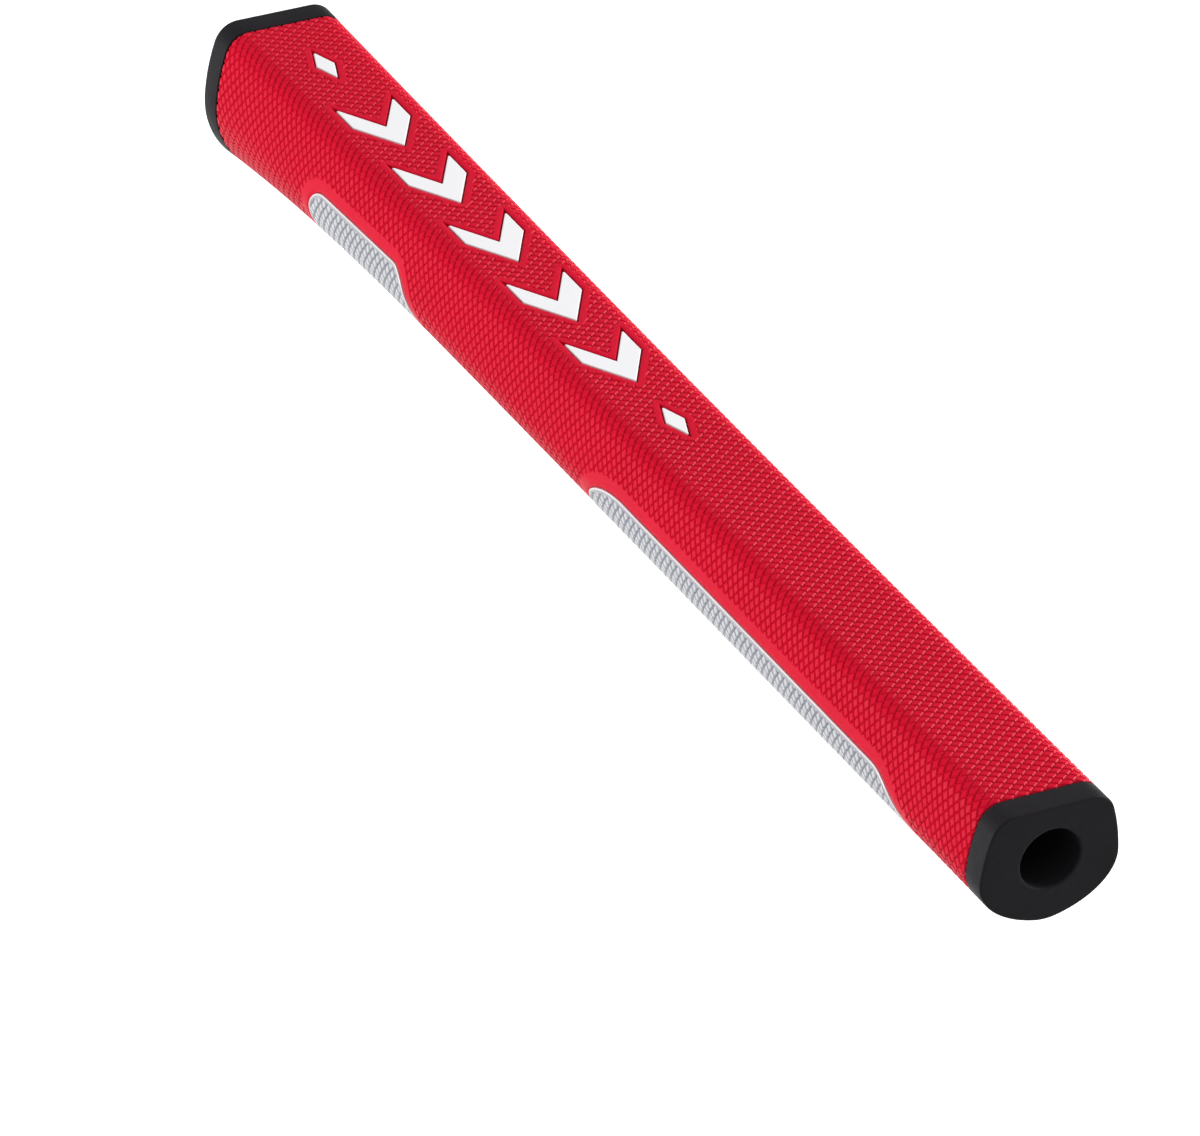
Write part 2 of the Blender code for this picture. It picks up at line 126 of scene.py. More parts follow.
# ---- Keel seam
SEAM_HALF_WIDTH = 0.7 * MM
SEAM_BORDER = 0.9 * MM  # smooth strip of cover beside the seam
SEAM_SUNK, SEAM_SIDE_DROP = 0.04 * MM, 0.16 * MM
SEAM_STEP = 1.5 * MM

# ---- Rounded edges of the rubber caps at the hole and at the cover
CAP_LIP, CAP_SEAM_ROLL = 0.35 * MM, 0.2 * MM

# ---- White marks on the paddle
MARK_THICKNESS = 0.35 * MM
MARK_CORNER = 0.15 * MM
MARK_BEVEL = 0.14 * MM
MARK_BORDER = 1.0 * MM
DIAMOND_HALF_LENGTH, DIAMOND_HALF_WIDTH = 4.6 * MM, 1.7 * MM
DIAMONDS_FROM_BUTT = {"diamond_butt": 20.1 * MM, "diamond_mouth": 145.2 * MM}
CHEVRON_COUNT, CHEVRON_FIRST_FROM_BUTT, CHEVRON_PITCH = 5, 34.5 * MM, 20.6 * MM
CHEVRON_LENGTH, CHEVRON_ARM, CHEVRON_HALF_WIDTH = 15.0 * MM, 6.6 * MM, 5.4 * MM


# ------------------------------------------------------------------ the grip's skin


def unit_half_outline():
    """(y, z) in widths from the paddle's middle down the -Y side to the keel."""
    nose_angle = 180.0 - sum(degrees for _, degrees in ARCS)
    points = [np.array([-PADDLE_HALF * t, 0.0]) for t in np.linspace(0, 1, 9)]
    heading = 0.0
    for index, count in enumerate(OUTLINE_STEPS):
        if index < len(ARCS):
            radius, degrees = ARCS[index]
        else:
            degrees = nose_angle
            radius = -points[-1][0] / math.sin(math.radians(nose_angle))
        start = points[-1]
        centre = start + radius * np.array([math.sin(heading), -math.cos(heading)])
        for step in range(1, count + 1):
            angle = heading + math.radians(degrees) * step / count
            points.append(centre + radius * np.array([-math.sin(angle), math.cos(angle)]))
        heading += math.radians(degrees)
    return np.array(points)


UNIT_HALF = unit_half_outline()
KEEL_BELOW_AXIS = -UNIT_HALF[-1][1] - PADDLE_ABOVE_AXIS


def width_at(x):
    t = (x - BUTT_X) / LENGTH
    bow = 4 * (WIDTH_WAIST - (WIDTH_BUTT + WIDTH_MOUTH) / 2)
    return WIDTH_BUTT + (WIDTH_MOUTH - WIDTH_BUTT) * t + bow * t * (1 - t)


def paddle_at(x):
    return PADDLE_BUTT + (PADDLE_MOUTH - PADDLE_BUTT) * (x - BUTT_X) / LENGTH


def keel_at(x):
    from_butt = x - BUTT_X
    pistol = max(0.0, 1 - from_butt / PISTOL_LENGTH) ** 2
    taper = max(0.0, (from_butt - MOUTH_TAPER_FROM_BUTT) / (LENGTH - MOUTH_TAPER_FROM_BUTT)) ** 2
    return KEEL_WAIST + (KEEL_BUTT - KEEL_WAIST) * pistol - (KEEL_WAIST - KEEL_MOUTH) * taper


def half_section(x):
    """Points and outward normals of the -Y half of the outline at x."""
    y = UNIT_HALF[:, 0] * width_at(x)
    z = UNIT_HALF[:, 1] + PADDLE_ABOVE_AXIS
    above = paddle_at(x) / PADDLE_ABOVE_AXIS
    below = keel_at(x) / KEEL_BELOW_AXIS
    half = np.column_stack([y, np.where(z > 0, z * above, z * below)])
    path = np.vstack([half[1] * [-1, 1], half, half[-2] * [-1, 1]])
    along = path[2:] - path[:-2]
    along /= np.linalg.norm(along, axis=1)[:, None]
    return half, np.column_stack([along[:, 1], -along[:, 0]])


STATION_STEP, GIRTH_STEP, GIRTH_REACH = 0.5 * MM, 0.1 * MM, 46 * MM
SNAP = 0.03 * MM  # a point this close to a line counts as lying on it


def skin_table():
    """Rows of (y, z, normal y, normal z) over x and girth, and half of the girth at each x."""
    stations = np.arange(BUTT_X, MOUTH_X + STATION_STEP, STATION_STEP)
    girths = np.arange(0, GIRTH_REACH, GIRTH_STEP)
    table, half_girths = [], []
    for x in stations:
        half, normals = half_section(x)
        steps = np.linalg.norm(np.diff(half, axis=0), axis=1)
        travelled = np.concatenate([[0.0], np.cumsum(steps)])
        columns = np.column_stack([half, normals]).T
        table.append(np.column_stack([np.interp(girths, travelled, c) for c in columns]))
        half_girths.append(travelled[-1])
    return stations, np.array(table), np.array(half_girths)


STATIONS, SKIN, HALF_GIRTHS = skin_table()


def half_girth_at(x):
    return np.interp(x, STATIONS, HALF_GIRTHS)


def on_skin(x, girth, lift):
    """Points in space for places on the skin."""
    x, girth, lift = np.broadcast_arrays(*(np.asarray(v, float) for v in (x, girth, lift)))
    row = (x - STATIONS[0]) / STATION_STEP
    column = np.abs(girth) / GIRTH_STEP
    i = np.clip(row.astype(int), 0, len(STATIONS) - 2)
    j = np.clip(column.astype(int), 0, SKIN.shape[1] - 2)
    a, b = (row - i)[..., None], (column - j)[..., None]
    low = SKIN[i, j] * (1 - b) + SKIN[i, j + 1] * b
    high = SKIN[i + 1, j] * (1 - b) + SKIN[i + 1, j + 1] * b
    found = low * (1 - a) + high * a
    y = found[..., 0] + lift * found[..., 2]
    z = found[..., 1] + lift * found[..., 3]
    return np.stack([x, np.where(girth < 0, -y, y), z], axis=-1)


# ------------------------------------------------------------------ flat sheets over (x, girth)


def emboss_sheet(low, high, share):
    """Triangles over a rectangle of (x, girth), with an edge along every groove and shoulder.

    share is a groove's half width as a share of the distance between grooves.
    """
    size = np.array([CELL_LENGTH, CELL_WIDTH])
    corners = np.array([[low[0], low[1]], [low[0], high[1]], [high[0], low[1]], [high[0], high[1]]])
    scaled = (corners - [BUTT_X, 0]) / size
    rising, falling = scaled[:, 0] + scaled[:, 1], scaled[:, 0] - scaled[:, 1]
    offsets = np.array([-0.5, -0.5 + share, 0.5 - share])

    def lines(values):
        whole = np.arange(math.floor(values.min()) - 1, math.ceil(values.max()) + 2)
        return (whole[:, None] + offsets).ravel()

    u, v = np.meshgrid(lines(rising), lines(falling), indexing="ij")
    points = np.stack([(u + v) / 2, (u - v) / 2], axis=-1) * size + [BUTT_X, 0]
    inside = ((points > np.array(low)) & (points < np.array(high))).all(axis=-1)
    wanted = inside[:-1, :-1] | inside[1:, :-1] | inside[:-1, 1:] | inside[1:, 1:]
    number = np.arange(u.size).reshape(u.shape)
    a, b = number[:-1, :-1][wanted], number[1:, :-1][wanted]
    c, d = number[1:, 1:][wanted], number[:-1, 1:][wanted]
    triangles = np.vstack([np.column_stack([a, b, c]), np.column_stack([a, c, d])])
    return compact(points.reshape(-1, 2), triangles)


def compact(points, triangles):
    """Drops the points that no triangle uses."""
    used, renumbered = np.unique(triangles, return_inverse=True)
    return points[used], renumbered.reshape(triangles.shape)


def scored(points, triangles, height, near=None):
    """The sheet with its triangles split along the line where height(points) is zero.

    near(points) limits the split to a part of the line.
    """
    level = height(points)
    level = np.where(np.abs(level) < SNAP, 0.0, level)
    signs = np.sign(level)[triangles]
    touched = signs.min(axis=1) * signs.max(axis=1) < 0
    result, triangles = [triangles[~touched]], triangles[touched]
    sides = np.stack([triangles, np.roll(triangles, -1, axis=1)], axis=-1).reshape(-1, 2)
    keys, of_side = np.unique(sides.min(axis=1) * len(points) + sides.max(axis=1), return_inverse=True)
    low, high = keys // len(points), keys % len(points)
    first, second = level[low], level[high]
    crossed = first * second < 0
    share = np.where(crossed, first / np.where(crossed, first - second, 1), 0)[:, None]
    middle = points[low] * (1 - share) + points[high] * share
    if near is not None:
        crossed &= near(middle)
    number = np.full(len(keys), -1)
    number[crossed] = len(points) + np.arange(crossed.sum())
    split = number[of_side].reshape(-1, 3)
    result.append(triangles[(split < 0).all(axis=1)])
    for turn in range(3):
        corner, cut = np.roll(triangles, -turn, axis=1), np.roll(split, -turn, axis=1)
        only = (cut[:, 0] >= 0) & (cut[:, 1] < 0) & (cut[:, 2] < 0)
        (a, b, c), m = corner[only].T, cut[only, 0]
        result += [np.column_stack([a, m, c]), np.column_stack([m, b, c])]
        both = (cut[:, 0] >= 0) & (cut[:, 1] < 0) & (cut[:, 2] >= 0)
        (a, b, c), m, n = corner[both].T, cut[both, 0], cut[both, 2]
        result += [np.column_stack(t) for t in ((a, m, n), (m, b, c), (m, c, n))]
    return np.vstack([points, middle[crossed]]), np.vstack(result)


def kept(points, triangles, wanted):
    """The triangles whose centres wanted(points) accepts."""
    centres = points[triangles].mean(axis=1)
    return compact(points, triangles[wanted(centres)])


def border_edges(triangles):
    """Directed edges that only one triangle has."""
    sides = np.stack([triangles, np.roll(triangles, -1, axis=1)], axis=-1).reshape(-1, 2)
    limit = triangles.max() + 1
    forward, backward = sides[:, 0] * limit + sides[:, 1], sides[:, 1] * limit + sides[:, 0]
    return sides[~np.isin(forward, backward)]


def signed_distance(points, outline):
    """Distance to a closed outline, negative inside it."""
    nearest = np.full(len(points), np.inf)
    inside = np.zeros(len(points), bool)
    for start, end in zip(outline, np.roll(outline, -1, axis=0)):
        side = end - start
        offset = points - start
        share = np.clip(offset @ side / (side @ side), 0, 1)
        nearest = np.minimum(nearest, ((offset - share[:, None] * side) ** 2).sum(axis=1))
        spans = (start[1] > points[:, 1]) != (end[1] > points[:, 1])
        if side[1] != 0:
            inside ^= spans & (offset[:, 0] < offset[:, 1] * side[0] / side[1])
    return np.sqrt(nearest) * np.where(inside, -1, 1)


def groove_at(points, share):
    """1 on a groove's bottom line, 0 on the cells."""
    x, s = (points[:, 0] - BUTT_X) / CELL_LENGTH, points[:, 1] / CELL_WIDTH
    lines = np.stack([x + s, x - s])
    away = 0.5 - np.abs(lines - np.round(lines))
    return np.clip(1 - away / share, 0, 1).max(axis=0)


# ------------------------------------------------------------------ outlines of panels and marks


def smoothstep(t):
    t = np.clip(t, 0, 1)
    return t * t * (3 - 2 * t)


def panel_outline(panel, margin):
    """Closed outline in (x, girth) on the -Y side: an elliptical nose, and an S at the far end."""
    margin = margin / MM
    edge, hem = panel["edge"] - margin, PANEL_HEM_GIRTH + margin
    start, nose_end = panel["start"] - margin, panel["start"] + panel["nose"]
    nose = np.linspace(-math.pi / 2, math.pi / 2, 40)
    nose_x = nose_end - (nose_end - start) * np.cos(nose)
    nose_girth = (edge + hem) / 2 - (hem - edge) / 2 * np.sin(nose)
    t = np.linspace(0, BLUNT_TIP, 30)
    span = panel["sweep_end"] - panel["sweep_start"]
    sweep_x = panel["sweep_start"] + margin + span * t
    sweep_drop = PANEL_HEM_GIRTH - panel["edge"] + panel["rise"]
    sweep_girth = edge - panel["rise"] + sweep_drop * smoothstep(t)
    x = np.concatenate([nose_x, sweep_x, sweep_x[-1:]])
    girth = np.concatenate([nose_girth, sweep_girth, [hem]])
    return np.column_stack([x * MM + BUTT_X, girth * MM])


def grown(outline, margin):
    """A counter-clockwise outline with every side moved outwards by margin."""
    points = np.array(outline)
    along = np.roll(points, -1, axis=0) - points
    along /= np.linalg.norm(along, axis=1)[:, None]
    outward = np.column_stack([along[:, 1], -along[:, 0]])
    before = np.roll(outward, 1, axis=0)
    mitre = (before + outward) / (1 + (before * outward).sum(axis=1))[:, None]
    return points + margin * mitre


def rounded(outline, radius, steps=3):
    """The outline with each corner replaced by an arc that touches both of its sides."""
    points = np.array(outline)
    result = []
    for i, corner in enumerate(points):
        before, after = points[i - 1] - corner, points[(i + 1) % len(points)] - corner
        before /= np.linalg.norm(before)
        after /= np.linalg.norm(after)
        half_angle = math.acos(np.clip(before @ after, -1, 1)) / 2
        start, end = (corner + way * radius / math.tan(half_angle) for way in (before, after))
        bisector = (before + after) / np.linalg.norm(before + after)
        centre = corner + bisector * radius / math.sin(half_angle)
        for t in np.linspace(0, 1, steps + 1):
            spoke = (1 - t) * start + t * end - centre
            result.append(centre + spoke * radius / np.linalg.norm(spoke))
    return np.array(result)


def mark_outlines():
    """Name to sharp-cornered outline in (x, girth), counter-clockwise."""
    length, width = DIAMOND_HALF_LENGTH, DIAMOND_HALF_WIDTH
    diamond = np.array([(-length, 0), (0, -width), (length, 0), (0, width)])
    tip, arm, half = CHEVRON_LENGTH, CHEVRON_ARM, CHEVRON_HALF_WIDTH
    chevron = [(0, -half), (arm, -half), (tip, 0), (arm, half), (0, half), (tip - arm, 0)]
    outlines = {name: diamond + [BUTT_X + x, 0] for name, x in DIAMONDS_FROM_BUTT.items()}
    for number in range(CHEVRON_COUNT):
        x = BUTT_X + CHEVRON_FIRST_FROM_BUTT + number * CHEVRON_PITCH
        outlines[f"chevron_{number + 1}"] = np.array(chevron) + [x, 0]
    return outlines


MARKS = mark_outlines()
POCKETS = {name: grown(outline, GAP) for name, outline in MARKS.items()}


# ------------------------------------------------------------------ meshes


def add_mesh(name, points, faces, sharp_angle):
    mesh = bpy.data.meshes.new(name)
    mesh.from_pydata(np.asarray(points).tolist(), [], [list(map(int, f)) for f in faces])
    shape = bmesh.new()
    shape.from_mesh(mesh)
    bmesh.ops.recalc_face_normals(shape, faces=shape.faces)
    shape.to_mesh(mesh)
    shape.free()
    mesh.shade_smooth()
    mesh.set_sharp_from_angle(angle=math.radians(sharp_angle))
    made = bpy.data.objects.new(name, mesh)
    bpy.context.scene.collection.objects.link(made)
    return made


def paint(item, name, values):
    """Stores a number per point for the material."""
    item.data.attributes.new(name, "FLOAT", "POINT").data.foreach_set("value", values)


def finished(item, node, material):
    """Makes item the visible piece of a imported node."""
    item.data.materials.clear()
    item.data.materials.append(material)
    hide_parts(node)
    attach(item, "root")
    return item


def full_outline(x, inset=0.0):
    """Closed loop of (y, z) round the section at x, moved inwards by inset."""
    half, normals = half_section(x)
    half = half - inset * normals
    return np.vstack([half, half[-2:0:-1] * [-1, 1]])


def circle_like(loop, radius):
    """A circle about the bore's axis whose points face those of the loop."""
    return loop / np.linalg.norm(loop, axis=1)[:, None] * radius


def closed_loft(name, rings, sharp_angle):
    """Skins a row of (x, loop) rings and joins the last to the first."""
    count = len(rings[0][1])
    points = [(x, y, z) for x, loop in rings for y, z in loop]
    faces = []
    for r in range(len(rings)):
        a, b = r * count, (r + 1) % len(rings) * count
        for i in range(count):
            j = (i + 1) % count
            faces.append((a + i, a + j, b + j, b + i))
    return add_mesh(name, points, faces, sharp_angle)


def capped_loft(name, rings, sharp_angle):
    """Skins a row of rings of points in space and closes both ends."""
    count = len(rings[0])
    faces = [tuple(range(count)), tuple(range((len(rings) - 1) * count, len(rings) * count))]
    for r in range(len(rings) - 1):
        for i in range(count):
            j = (i + 1) % count
            faces.append((r * count + i, r * count + j, (r + 1) * count + j, (r + 1) * count + i))
    return add_mesh(name, np.vstack(rings), faces, sharp_angle)


def quarter(steps):
    """Angles from 0 to a quarter turn."""
    return np.linspace(0, math.pi / 2, steps + 1)


# ------------------------------------------------------------------ cover


def window_distance(points):
    """Distance to the nearest window for a panel, on either side of the grip."""
    mirrored = np.column_stack([points[:, 0], np.abs(points[:, 1])])
    each = [signed_distance(mirrored, panel_outline(panel, WINDOW_GAP)) for panel in PANELS.values()]
    return np.minimum(*each)


def pocket_distance(points):
    """Distance to the nearest pocket for a mark."""
    result = np.full(len(points), 1.0)
    close = np.abs(points[:, 1]) < 12 * MM
    each = [signed_distance(points[close], outline) for outline in POCKETS.values()]
    result[close] = np.min(each, axis=0)
    return result


def end_distance(points):
    return np.minimum(points[:, 0] - BODY_START_X, BODY_END_X - points[:, 0])


def seam_distance(points):
    edge = half_girth_at(points[:, 0]) - SEAM_HALF_WIDTH - GAP / 2
    return edge - np.abs(points[:, 1])


def cut_distance(points):
    """Distance to the nearest edge of the cover, its pockets left out."""
    return np.minimum(np.minimum(window_distance(points), seam_distance(points)), end_distance(points))


def side_line(start, end):
    """Height over the line through two points, and a test for being close to the side between them."""
    side = end - start
    length = np.linalg.norm(side)
    across = np.array([side[1], -side[0]]) / length

    def height(points):
        return (points - start) @ across

    def near(points):
        share = (points - start) @ side / length**2
        return np.abs(share - 0.5) < 0.5 + 0.2 * MM / length

    return height, near


def cover_sheet():
    reach = 45 * MM
    points, triangles = emboss_sheet((BODY_START_X, -reach), (BODY_END_X, reach), COVER_GROOVE)
    for distance in (end_distance, seam_distance):
        points, triangles = scored(points, triangles, distance)
        points, triangles = kept(points, triangles, lambda p: distance(p) > 0)
        points, triangles = scored(points, triangles, lambda p: distance(p) - EDGE_ROLL)
    for level in (0, WINDOW_ROLL, BAND, BAND + FADE):
        points, triangles = scored(points, triangles, lambda p: window_distance(p) - level)
    points, triangles = kept(points, triangles, lambda p: window_distance(p) > 0)
    points, triangles = scored(points, triangles, lambda p: seam_distance(p) - SEAM_BORDER)
    for outline in POCKETS.values():
        for start, end in zip(outline, np.roll(outline, -1, axis=0)):
            points, triangles = scored(points, triangles, *side_line(start, end))
    for level in (EDGE_ROLL, MARK_BORDER, MARK_BORDER + FADE):
        points, triangles = scored(points, triangles, lambda p: pocket_distance(p) - level)
    return points, triangles


def rolled(distance, reach, drop):
    """How far a rounded edge has dropped at a distance from the cut."""
    return drop * np.clip(1 - distance / reach, 0, 1) ** 2


def underside(points, border):
    """Coarse triangles that close the sheet from below, and the points added for them."""
    used, loops = np.unique(border, return_inverse=True)
    rim = points[used]
    across, along = np.meshgrid(np.arange(-42, 43, 6) * MM, np.arange(BODY_START_X, BODY_END_X, 9 * MM))
    inner = np.column_stack([along.ravel(), across.ravel()])
    inner = inner[cut_distance(inner) > 2 * MM]
    given = [Vector(p / MM) for p in np.vstack([rim, inner])]
    edges = [tuple(map(int, pair)) for pair in loops.reshape(-1, 2)]
    result = geometry.delaunay_2d_cdt(given, edges, [], 1, 1e-4)
    found = np.array([tuple(p) for p in result[0]]) * MM
    triangles = np.array([list(f) for f in result[2]])
    centres = found[triangles].mean(axis=1)
    outside = cut_distance(centres)
    source = [list(o) for o in result[3]]
    if any(len(o) != 1 for o in source):
        raise ValueError("the underside's border met itself")
    return used, inner, triangles[outside > -SNAP], [o[0] for o in source]


def make_cover(material):
    """Embossed sheet with rolled edges, pockets for the marks and windows for the panels."""
    points, triangles = cover_sheet()
    window, pocket = window_distance(points), pocket_distance(points)
    end, seam = end_distance(points), seam_distance(points)
    smooth = [(window, BAND), (pocket, MARK_BORDER), (seam, SEAM_BORDER)]
    embossed = np.min([np.clip((away - width) / FADE, 0, 1) for away, width in smooth], axis=0)
    groove = groove_at(points, COVER_GROOVE) * embossed
    edge = np.min([np.abs(pocket), end, seam], axis=0)
    lift = -GROOVE_DEPTH * groove - rolled(edge, EDGE_ROLL, EDGE_DROP)
    lift -= rolled(np.abs(window), WINDOW_ROLL, WINDOW_DROP)

    centres = points[triangles].mean(axis=1)
    in_pocket = pocket_distance(centres) < 0
    top, floor = triangles[~in_pocket], triangles[in_pocket]
    count = len(points)
    pocket_rim = border_edges(floor)
    outer_rim = border_edges(triangles)

    # the floor has its own copy of the sheet's points, sunk below the skin
    depth = MARK_THICKNESS + GAP
    used, inner, under, source = underside(points, outer_rim)
    under_number = 2 * count + np.arange(len(used) + len(inner))
    under_at = np.vstack([points[used], inner])
    of_point = np.full(count, -1)
    of_point[used] = under_number[: len(used)]
    space = np.vstack([
        on_skin(points[:, 0], points[:, 1], lift),
        on_skin(points[:, 0], points[:, 1], -depth),
        on_skin(under_at[:, 0], under_at[:, 1], -COVER),
    ])
    faces = [top, floor + count]
    a, b = pocket_rim.T
    faces += [np.column_stack([a, b, b + count]), np.column_stack([a, b + count, a + count])]
    a, b = outer_rim.T
    faces += [np.column_stack([a, b, of_point[b]]), np.column_stack([a, of_point[b], of_point[a]])]
    faces.append(under_number[np.array(source)[under]])
    faces = np.vstack(faces)
    flat = np.vstack([points, points, under_at])
    # The pocket floors and the underside take the full groove value, so the material paints them dark:
    # painted shade in the recesses.
    groove = np.concatenate([groove, np.full(count, 1.0), np.ones(len(under_at))])
    used, faces = np.unique(faces, return_inverse=True)
    item = add_mesh("cover", space[used], faces.reshape(-1, 3), SHARP_EMBOSS)
    paint(item, "groove", groove[used])
    lay_out(item, flat[used], used >= 2 * count)
    return finished(item, "pu_cover", material)


def lay_out(item, flat, below):
    """Bake map: the sheet as it lies in (x, girth), with its underside in a strip beside it."""
    low, high = flat.min(axis=0), flat.max(axis=0)
    place = (flat - low) / (high - low)
    place[:, 1] = np.where(below, 0.92 + 0.08 * place[:, 1], 0.9 * place[:, 1])
    layer = item.data.uv_layers.new(name="OFBake")
    corner = np.zeros(len(item.data.loops), int)
    item.data.loops.foreach_get("vertex_index", corner)
    layer.data.foreach_set("uv", place[corner].ravel())


# ------------------------------------------------------------------ panels


def make_panel(side_name, which, material):
    """Silver inlay: the same emboss inside a smooth grey border, with a painted highlight along its rounded
    rim.
    """
    side = 1 if side_name == "left" else -1
    outline = panel_outline(PANELS[which], 0.0)

    def distance(points):
        return -signed_distance(points, outline)

    low, high = outline.min(axis=0), outline.max(axis=0)
    points, triangles = emboss_sheet(low - MM, high + MM, PANEL_GROOVE)
    points, triangles = scored(points, triangles, distance)
    points, triangles = kept(points, triangles, lambda p: distance(p) > 0)
    for level in (RIM, 2 * RIM, PANEL_BORDER, PANEL_BORDER + FADE):
        points, triangles = scored(points, triangles, lambda p: distance(p) - level)
    away = distance(points)
    groove = groove_at(points, PANEL_GROOVE) * np.clip((away - PANEL_BORDER) / FADE, 0, 1)
    # rim marks where the painted highlight goes on the rounded edge
    rim = np.clip(2 - away / RIM, 0, 1)
    border = np.clip(1 - (away - PANEL_BORDER) / FADE, 0, 1)
    lift = PANEL_LIFT - GROOVE_DEPTH * groove - RIM_DROP * np.clip(1 - away / RIM, 0, 1)
    girth = side * points[:, 1]
    count = len(points)
    space = np.vstack([on_skin(points[:, 0], girth, lift), on_skin(points[:, 0], girth, -COVER)])
    a, b = border_edges(triangles).T
    faces = np.vstack([
        triangles,
        triangles[:, ::-1] + count,
        np.column_stack([a, b, b + count]),
        np.column_stack([a, b + count, a + count]),
    ])
    item = add_mesh(f"panel_{side_name}_{which}_inlay", space, faces, SHARP_EMBOSS)
    # The groove values also drive the material's painted shade in the panel's grooves.
    paint(item, "groove", np.concatenate([groove, groove]))
    paint(item, "rim", np.concatenate([rim, rim]))
    paint(item, "border", np.concatenate([border, border]))
    lay_out(item, np.vstack([points, points]), np.arange(2 * count) >= count)
    return finished(item, f"panel_{side_name}_{which}", material)


# ------------------------------------------------------------------ marks


def make_mark(name, outline, material):
    """A white inlay with a rounded upper edge, in its pocket."""
    turn = quarter(3)
    insets = np.concatenate([[0.0], MARK_BEVEL * (1 - np.cos(turn)), [2 * MARK_BEVEL]])
    lifts = np.concatenate([[-MARK_THICKNESS], MARK_BEVEL * (np.sin(turn) - 1), [0.0]])
    rings = []
    for inset, lift in zip(insets, lifts):
        loop = rounded(grown(outline, -inset), MARK_CORNER)
        rings.append(on_skin(loop[:, 0], loop[:, 1], lift))
    item = capped_loft(f"{name}_inlay", rings, 50)
    return finished(item, name, material)


# ------------------------------------------------------------------ seam, caps and core


def make_seam(material):
    """Low bead along the keel where the cover's two edges meet."""
    across = np.linspace(-1, 1, 9)
    rings = []
    for x in np.arange(BODY_START_X, BODY_END_X, SEAM_STEP).tolist() + [BODY_END_X]:
        half = half_girth_at(x)
        girth = half - SEAM_HALF_WIDTH * np.abs(across)
        girth = np.where(across < 0, -girth, girth)
        top = on_skin(x, girth, -SEAM_SUNK - SEAM_SIDE_DROP * across**4)
        low = on_skin(x, girth[[-1, 0]], -COVER)
        rings.append(np.vstack([top, low]))
    item = capped_loft("keel_seam", rings, 50)
    return finished(item, "seam_strip", material)


def cap_rings(face_x, seam_x, edge_radius, hole_radius, neck_radius, neck_x):
    """Rings from the hole's inner end, over the face and the rounded edge, to the neck's end."""
    inward = 1 if seam_x > face_x else -1
    rings = [(neck_x, circle_like(full_outline(seam_x), hole_radius))]
    for angle in quarter(4):
        x = face_x + inward * CAP_LIP * (1 - math.sin(angle))
        radius = hole_radius + CAP_LIP * (1 - math.cos(angle))
        rings.append((x, circle_like(full_outline(face_x), radius)))
    # two more rings keep the flat face's shading apart from its rounded edges
    rings.append((face_x, circle_like(full_outline(face_x), hole_radius + 1.5 * CAP_LIP)))
    rings.append((face_x, full_outline(face_x, edge_radius + 0.5 * CAP_LIP)))
    for angle in quarter(8):
        x = face_x + inward * edge_radius * (1 - math.cos(angle))
        rings.append((x, full_outline(x, edge_radius * (1 - math.sin(angle)))))
    for angle in quarter(3)[::-1]:
        x = seam_x - inward * CAP_SEAM_ROLL * (1 - math.cos(angle))
        rings.append((x, full_outline(x, CAP_SEAM_ROLL * (1 - math.sin(angle)))))
    for x in (seam_x, neck_x):
        rings.append((x, circle_like(full_outline(seam_x), neck_radius)))
    return rings


def make_caps(material):
    butt = cap_rings(BUTT_X, BUTT_SEAM_X, BUTT_EDGE_RADIUS, VENT_RADIUS, PLUG_RADIUS, PLUG_END_X)
    mouth = cap_rings(
        MOUTH_X, MOUTH_SEAM_X, MOUTH_EDGE_RADIUS, MOUTH_HOLE_RADIUS, COLLAR_RADIUS, COLLAR_END_X
    )
    finished(closed_loft("butt_cap_rubber", butt, 40), "butt_cap", material)
    finished(closed_loft("mouth_cap_rubber", mouth, 40), "mouth_cap", material)


def make_core(material):
    """Foam body with a smooth tapering bore and a counterbore for the mouth cap's collar."""
    stations = np.linspace(BODY_START_X, BODY_END_X, 60)
    rings = [(x, full_outline(x, CORE_INSET)) for x in stations]
    recess_x = COLLAR_END_X - GAP
    last = rings[-1][1]
    rings.append((BODY_END_X, circle_like(last, COLLAR_RECESS_RADIUS)))
    rings.append((recess_x, circle_like(last, COLLAR_RECESS_RADIUS)))
    for x in np.linspace(recess_x, BODY_START_X, 40):
        t = (x - BODY_START_X) / (BODY_END_X - BODY_START_X)
        radius = BORE_BUTT_RADIUS + (BORE_MOUTH_RADIUS - BORE_BUTT_RADIUS) * t
        rings.append((x, circle_like(full_outline(x), radius)))
    item = closed_loft("foam_underlisting", rings, 40)
    return finished(item, "foam_core", material)


# ------------------------------------------------------------------ materials


